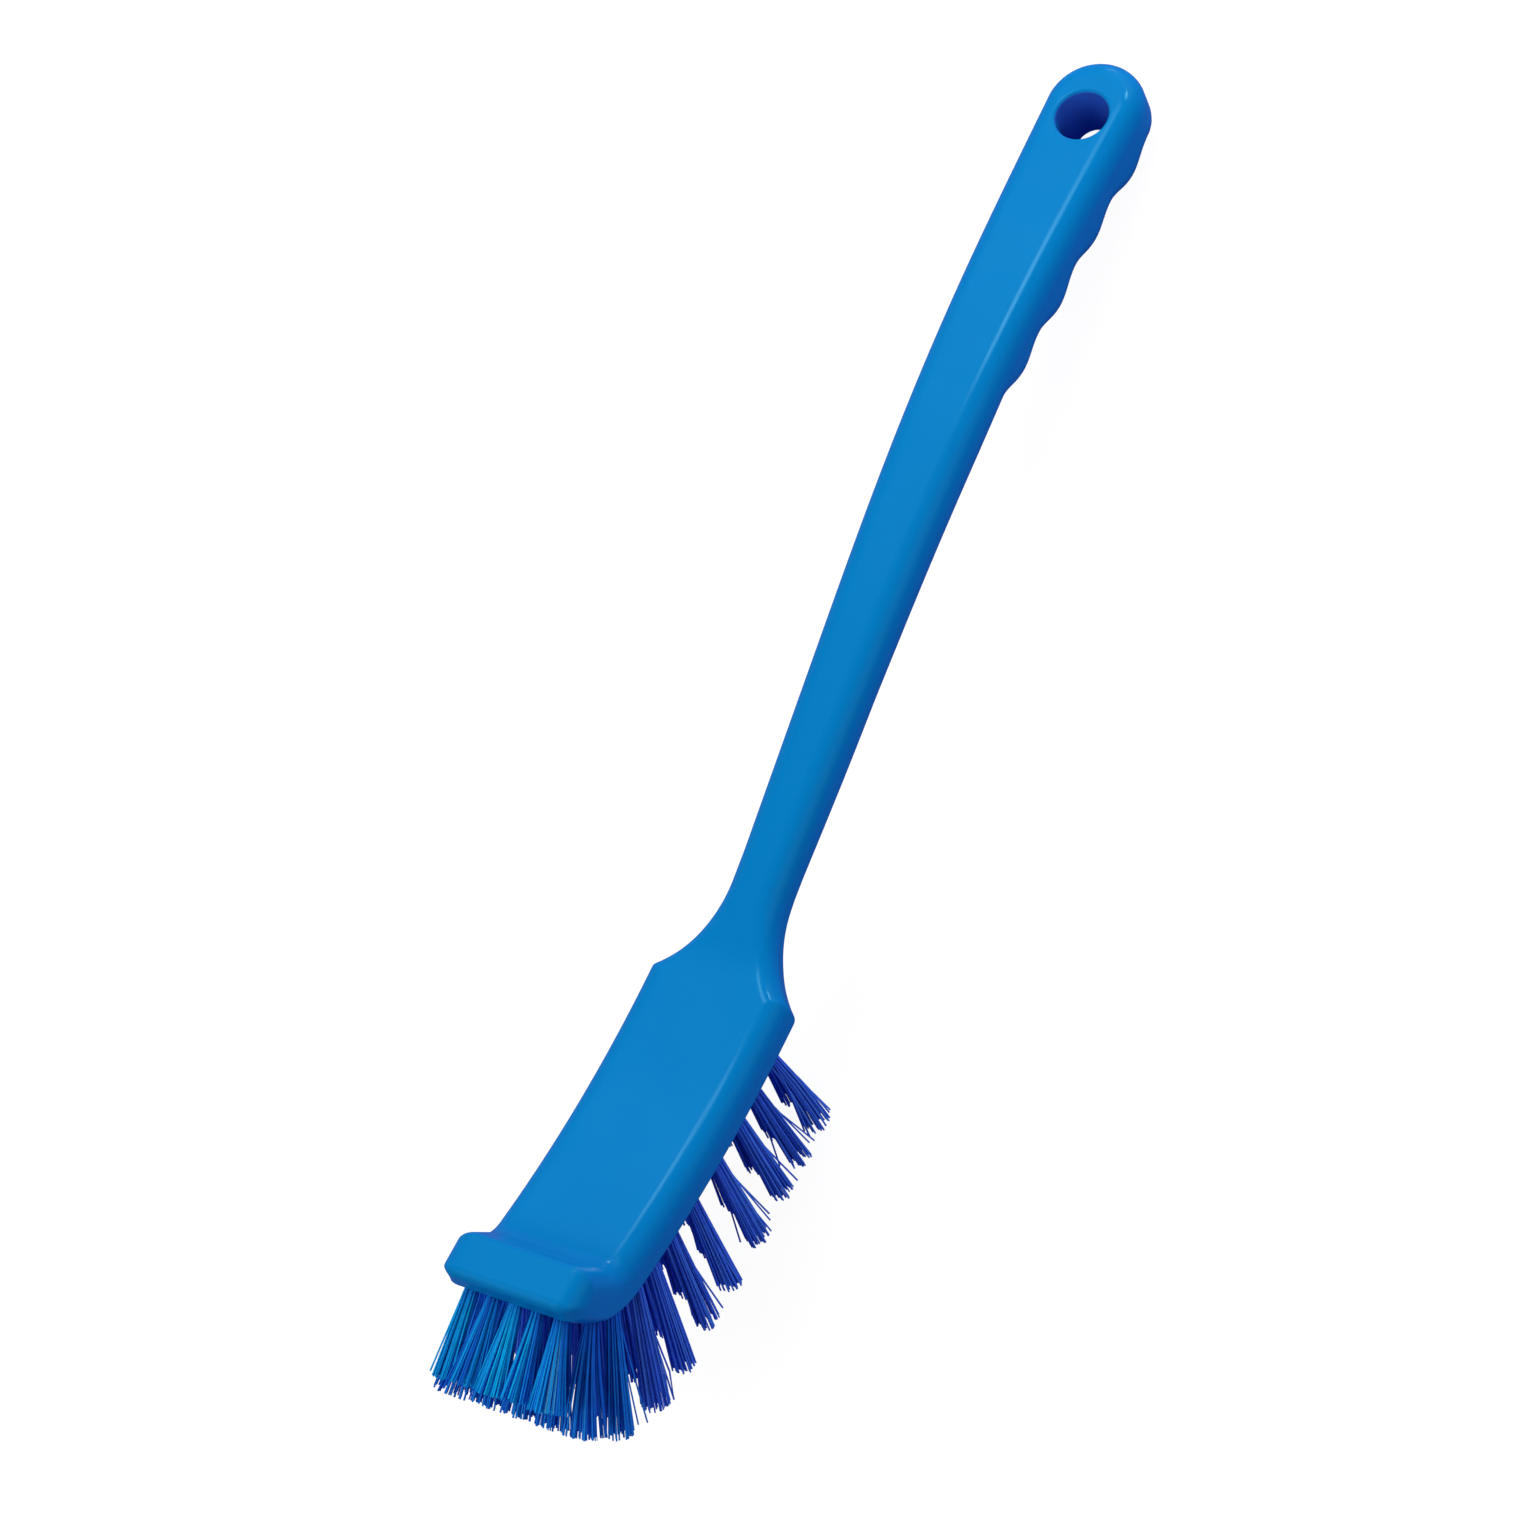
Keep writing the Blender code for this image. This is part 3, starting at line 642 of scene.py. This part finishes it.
def moulded_plastic(name, low, high):
    """Injection-moulded polypropylene: fine mould grain, faint flow mottling, satin gloss."""
    m, nt, b = base_material(name)
    link = nt.links.new
    tc = node(nt, 'ShaderNodeTexCoord')
    flow = node(nt, 'ShaderNodeTexNoise')
    flow.inputs["Scale"].default_value = 22.0
    flow.inputs["Detail"].default_value = 3.0
    link(tc.outputs["Object"], flow.inputs["Vector"])
    ramp = node(nt, 'ShaderNodeValToRGB')
    ramp.color_ramp.elements[0].position = 0.20
    ramp.color_ramp.elements[0].color = (*low, 1)
    ramp.color_ramp.elements[1].position = 0.80
    ramp.color_ramp.elements[1].color = (*high, 1)
    link(flow.outputs["Fac"], ramp.inputs["Fac"])
    link(ramp.outputs["Color"], b.inputs["Base Color"])
    wipe = node(nt, 'ShaderNodeTexNoise')
    wipe.inputs["Scale"].default_value = 60.0
    wipe.inputs["Detail"].default_value = 4.0
    link(tc.outputs["Object"], wipe.inputs["Vector"])
    rough = node(nt, 'ShaderNodeMapRange')
    rough.inputs["From Min"].default_value = 0.3
    rough.inputs["From Max"].default_value = 0.7
    rough.inputs["To Min"].default_value = 0.14
    rough.inputs["To Max"].default_value = 0.18
    link(wipe.outputs["Fac"], rough.inputs["Value"])
    link(rough.outputs["Result"], b.inputs["Roughness"])
    grain = node(nt, 'ShaderNodeTexNoise')
    grain.inputs["Scale"].default_value = 2600.0
    grain.inputs["Detail"].default_value = 2.0
    link(tc.outputs["Object"], grain.inputs["Vector"])
    wave = node(nt, 'ShaderNodeTexNoise')
    wave.inputs["Scale"].default_value = 90.0
    wave.inputs["Detail"].default_value = 1.0
    link(tc.outputs["Object"], wave.inputs["Vector"])
    bump = node(nt, 'ShaderNodeBump')
    bump.inputs["Strength"].default_value = 0.10
    bump.inputs["Distance"].default_value = 0.00004
    link(grain.outputs["Fac"], bump.inputs["Height"])
    bump2 = node(nt, 'ShaderNodeBump')
    bump2.inputs["Strength"].default_value = 0.05
    bump2.inputs["Distance"].default_value = 0.0002
    link(wave.outputs["Fac"], bump2.inputs["Height"])
    link(bump.outputs["Normal"], bump2.inputs["Normal"])
    link(bump2.outputs["Normal"], b.inputs["Normal"])
    b.inputs["IOR"].default_value = 1.49
    b.inputs["Specular IOR Level"].default_value = 0.5
    b.inputs["Specular Tint"].default_value = (0.34, 1.0, 1.0, 1)
    return m


def filament_plastic(name, deep, light, rough=0.30):
    """Drawn filament: each one a slightly different blue, with drawing lines along it, painted shade towards the feet
    and a painted highlight colour for a few glint filaments.
    """
    m, nt, b = base_material(name)
    link = nt.links.new
    tone = node(nt, 'ShaderNodeAttribute', attribute_name="tone")
    ramp = node(nt, 'ShaderNodeValToRGB')
    ramp.color_ramp.elements[0].position = 0.14
    ramp.color_ramp.elements[0].color = (*deep, 1)
    ramp.color_ramp.elements[1].position = 0.85
    ramp.color_ramp.elements[1].color = (*light, 1)
    # painted highlight: the pale cyan colour of the glint filaments
    glint = ramp.color_ramp.elements.new(1.0)
    glint.color = (0.12, 0.58, 0.94, 1)
    # painted shade: the dark navy that filament feet and the folds in the holes are painted with
    painted_root_shade_stop = ramp.color_ramp.elements.new(0.0)
    painted_root_shade_stop.color = (0.012, 0.045, 0.34, 1)
    link(tone.outputs["Fac"], ramp.inputs["Fac"])
    tc = node(nt, 'ShaderNodeTexCoord')
    streak = node(nt, 'ShaderNodeTexNoise')
    streak.inputs["Scale"].default_value = 240.0
    streak.inputs["Detail"].default_value = 1.0
    link(tc.outputs["Object"], streak.inputs["Vector"])
    level = node(nt, 'ShaderNodeMapRange')
    level.inputs["To Min"].default_value = 0.80
    level.inputs["To Max"].default_value = 1.15
    link(streak.outputs["Fac"], level.inputs["Value"])
    mix = node(nt, 'ShaderNodeMix', data_type='RGBA', blend_type='MULTIPLY')
    mix.inputs["Factor"].default_value = 1.0
    link(ramp.outputs["Color"], mix.inputs[6])
    link(level.outputs["Result"], mix.inputs[7])
    link(mix.outputs[2], b.inputs["Base Color"])
    b.inputs["Roughness"].default_value = rough
    b.inputs["IOR"].default_value = 1.52
    b.inputs["Specular IOR Level"].default_value = 0.30
    b.inputs["Specular Tint"].default_value = (0.18, 0.60, 1.0, 1)
    bump = node(nt, 'ShaderNodeBump')
    bump.inputs["Strength"].default_value = 0.08
    bump.inputs["Distance"].default_value = 0.00003
    link(streak.outputs["Fac"], bump.inputs["Height"])
    link(bump.outputs["Normal"], b.inputs["Normal"])
    return m


def wire_steel():
    m, nt, b = base_material("flat_wire")
    link = nt.links.new
    tc = node(nt, 'ShaderNodeTexCoord')
    mp = node(nt, 'ShaderNodeMapping')
    mp.inputs["Scale"].default_value = (3000.0, 120.0, 3000.0)
    link(tc.outputs["Object"], mp.inputs["Vector"])
    lines = node(nt, 'ShaderNodeTexNoise')
    lines.inputs["Scale"].default_value = 1.0
    link(mp.outputs["Vector"], lines.inputs["Vector"])
    ramp = node(nt, 'ShaderNodeValToRGB')
    ramp.color_ramp.elements[0].color = (0.50, 0.50, 0.49, 1)
    ramp.color_ramp.elements[1].color = (0.66, 0.66, 0.65, 1)
    link(lines.outputs["Fac"], ramp.inputs["Fac"])
    link(ramp.outputs["Color"], b.inputs["Base Color"])
    b.inputs["Metallic"].default_value = 1.0
    b.inputs["Roughness"].default_value = 0.32
    bump = node(nt, 'ShaderNodeBump')
    bump.inputs["Strength"].default_value = 0.2
    bump.inputs["Distance"].default_value = 0.00002
    link(lines.outputs["Fac"], bump.inputs["Height"])
    link(bump.outputs["Normal"], b.inputs["Normal"])
    return m


def floor_material():
    m, nt, b = base_material("pale_floor")
    link = nt.links.new
    tc = node(nt, 'ShaderNodeTexCoord')
    n = node(nt, 'ShaderNodeTexNoise')
    n.inputs["Scale"].default_value = 6.0
    link(tc.outputs["Object"], n.inputs["Vector"])
    ramp = node(nt, 'ShaderNodeValToRGB')
    ramp.color_ramp.elements[0].color = (0.90, 0.90, 0.905, 1)
    ramp.color_ramp.elements[1].color = (0.93, 0.93, 0.935, 1)
    link(n.outputs["Fac"], ramp.inputs["Fac"])
    link(ramp.outputs["Color"], b.inputs["Base Color"])
    b.inputs["Roughness"].default_value = 0.9
    b.inputs["Specular IOR Level"].default_value = 0.1
    # a light table: the floor glows a little, which keeps shadows pale, and sends back little light
    glow = node(nt, 'ShaderNodeEmission')
    glow.inputs["Color"].default_value = (1, 1, 1, 1)
    glow.inputs["Strength"].default_value = 1.12
    seen = node(nt, 'ShaderNodeMixShader')
    seen.inputs["Fac"].default_value = FLOOR_GLOW
    link(b.outputs["BSDF"], seen.inputs[1])
    link(glow.outputs["Emission"], seen.inputs[2])
    dim = node(nt, 'ShaderNodeBsdfDiffuse')
    dim.inputs["Color"].default_value = FLOOR_BOUNCE
    path = node(nt, 'ShaderNodeLightPath')
    pick = node(nt, 'ShaderNodeMixShader')
    link(path.outputs["Is Camera Ray"], pick.inputs["Fac"])
    link(dim.outputs["BSDF"], pick.inputs[1])
    link(seen.outputs["Shader"], pick.inputs[2])
    out = next(x for x in nt.nodes if x.type == 'OUTPUT_MATERIAL')
    link(pick.outputs["Shader"], out.inputs["Surface"])
    return m


# =====================================================================
# Build
# =====================================================================
scene = bpy.context.scene

plastic = moulded_plastic("moulded_blue", (0.0005, 0.224, 0.600), (0.0005, 0.236, 0.620))
# painted shade: a darker, more violet copy of the blue for the wall of the hanging eye
eye_wall_painted_shade = moulded_plastic("moulded_blue_eye_wall", (0.030, 0.120, 0.600), (0.034, 0.130, 0.620))
stock = build_stock()
stock.data.materials.clear()
stock.data.materials.append(plastic)
stock.data.materials.append(eye_wall_painted_shade)
# painted shade: the polygons on the eye's wall take the darker copy
_slope = math.atan(float(top_slope(EYE_X)))
eye_axis = Vector((-math.sin(_slope), 0, math.cos(_slope)))
eye_centre = Vector((EYE_X, 0, float(top_z(EYE_X)))) * MM
for p in stock.data.polygons:
    away = p.center - eye_centre
    inside = (away - eye_axis * away.dot(eye_axis)).length < (EYE_R + 0.3) * MM
    p.material_index = 1 if inside else 0
stock.data.transform(HEAD)
keep_inside(stock, CAD_BOX[0], CAD_BOX[1], 0.0)
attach(stock, "root")
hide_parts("stock")

# lit and shaded copies of one filament blue, painted per row: a lighter, greener copy for the lit nose row, a middle
# one for the two rows behind it, and a more violet one for the shaded rows under the head
shade = filament_plastic("filament_blue", (0.065, 0.200, 0.96), (0.110, 0.320, 1.00))
painted_half_lit_filament = filament_plastic("filament_blue_painted_half_lit", (0.012, 0.150, 0.78), (0.020, 0.320, 0.95))
painted_lit_filament = filament_plastic("filament_blue_painted_lit", (0.008, 0.205, 0.83), (0.004, 0.520, 0.98))
for index, (name, root, d, side, free, s, y) in enumerate(LAYOUT):
    row_lit_or_shaded_coat = painted_lit_filament if s == NOSE_ROW else (painted_half_lit_filament if s > 115 else shade)
    tip_r = 5.7 if s >= ROW_OF_FIVE else (5.4 if s > 100 else 4.4)
    ob = build_tuft(index, name, root, d, side, free, tip_r, row_lit_or_shaded_coat)
    ob.data.transform(HEAD)
    keep_inside(ob, CAD_BOX[0], CAD_BOX[1])
    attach(ob, "root")
    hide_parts("tuft_" + name)

steel = wire_steel()
for name, ob in frame["nodes"].items():
    if name.startswith("anchor_"):
        ob.data.materials.clear()
        ob.data.materials.append(steel)

# =====================================================================
# Stage, light and camera
# =====================================================================
bm = bmesh.new()
bmesh.ops.create_grid(bm, x_segments=4, y_segments=4, size=4.0)
me = bpy.data.meshes.new("floor")
bm.to_mesh(me)
bm.free()
floor = new_object("floor", me)
floor.location = (0, 0, -0.0002)
floor.data.materials.append(floor_material())

world = bpy.data.worlds.new("studio") if scene.world is None else scene.world
scene.world = world
world.use_nodes = True
bg = world.node_tree.nodes["Background"]
bg.inputs["Color"].default_value = (0.80, 0.88, 1.0, 1)
bg.inputs["Strength"].default_value = 0.12

AIM = HEAD @ Vector((-0.08, 0, 0))
REACH = 1.2                       # from the brush to each soft panel, m


def soft_panel(name, direction, size, power, distance_m=REACH, aim=AIM, gloss=False, spread=180.0):
    """A square soft panel seen in that direction from the brush, given in its head frame."""
    way = (HEAD.to_3x3() @ Vector(direction)).normalized()
    data = bpy.data.lights.new(name, 'AREA')
    data.shape = 'RECTANGLE'
    data.size, data.size_y = size, size
    data.energy = power
    data.spread = math.radians(spread)
    ob = bpy.data.objects.new(name, data)
    scene.collection.objects.link(ob)
    ob.location = aim + way * distance_m
    ob.rotation_mode = 'QUATERNION'
    ob.rotation_quaternion = (-way).to_track_quat('-Z', 'Y')
    ob.visible_glossy = gloss     # only the gloss panels are mirrored, so flats keep their depth
    return ob


soft_panel("front_panel", (0.66, -0.38, 0.64), 0.9, 6.6)
soft_panel("top_panel", (-0.35, -0.39, 0.84), 0.9, 5.2)
soft_panel("rear_panel", (-0.94, 0.0, 0.34), 0.9, 8.6)
soft_panel("near_panel", (0.05, 0.88, 0.47), 0.9, 4.3)
# small gridded panels, mirrored in the rounding of the near edge at the head and at the grip,
# in the rounding of the grip's end and in the rear edge of the lip
soft_panel("gloss_head", (-0.545, -0.265, 0.905), 0.30, 0.018, distance_m=1.089,
           aim=HEAD @ Vector((0.06, 0, 0)), gloss=True, spread=30.0)
soft_panel("gloss_grip", (-0.250, -0.110, 1.081), 0.38, 0.048, distance_m=1.116,
           aim=HEAD @ Vector((-0.29, 0, 0.05)), gloss=True, spread=30.0)
soft_panel("gloss_end", (-0.614, 0.120, 0.780), 0.11, 0.018, distance_m=1.1,
           aim=HEAD @ Vector((-0.335, 0, 0.06)), gloss=True, spread=30.0)
soft_panel("gloss_lip", (-0.949, -0.283, 0.165), 0.22, 0.020, distance_m=1.1,
           aim=HEAD @ Vector((0.12, 0.02, 0.023)), gloss=True, spread=30.0)

AZ, EL, ROLL = -50.322, 53.086, -27.295
FOCAL_PX, DIST = 7518.517, 2500.0
TARGET = Vector((-64.035, 0.0, 38.291))
az, el, ro = math.radians(AZ), math.radians(EL), math.radians(ROLL)
to_cam = Vector((math.cos(el) * math.cos(az), -math.cos(el) * math.sin(az), math.sin(el)))
right = Vector((0, 0, 1)).cross(to_cam).normalized()
up = to_cam.cross(right)
r2 = right * math.cos(ro) + up * math.sin(ro)
u2 = -right * math.sin(ro) + up * math.cos(ro)
where = (TARGET + to_cam * DIST) * MM
local = Matrix(((r2.x, u2.x, to_cam.x, where.x), (r2.y, u2.y, to_cam.y, where.y), (r2.z, u2.z, to_cam.z, where.z), (0, 0, 0, 1)))
cam_data = bpy.data.cameras.new("camera")
cam_data.sensor_width = 36.0
cam_data.lens = FOCAL_PX / 1535.0 * 36.0
cam_data.clip_start, cam_data.clip_end = 0.05, 50.0
cam = bpy.data.objects.new("camera", cam_data)
scene.collection.objects.link(cam)
cam.matrix_world = HEAD @ local
scene.camera = cam

scene.view_settings.view_transform = 'Standard'
scene.view_settings.look = 'None'
scene.view_settings.exposure = 0.0
scene.view_settings.gamma = 1.0

bpy.context.view_layer.update()
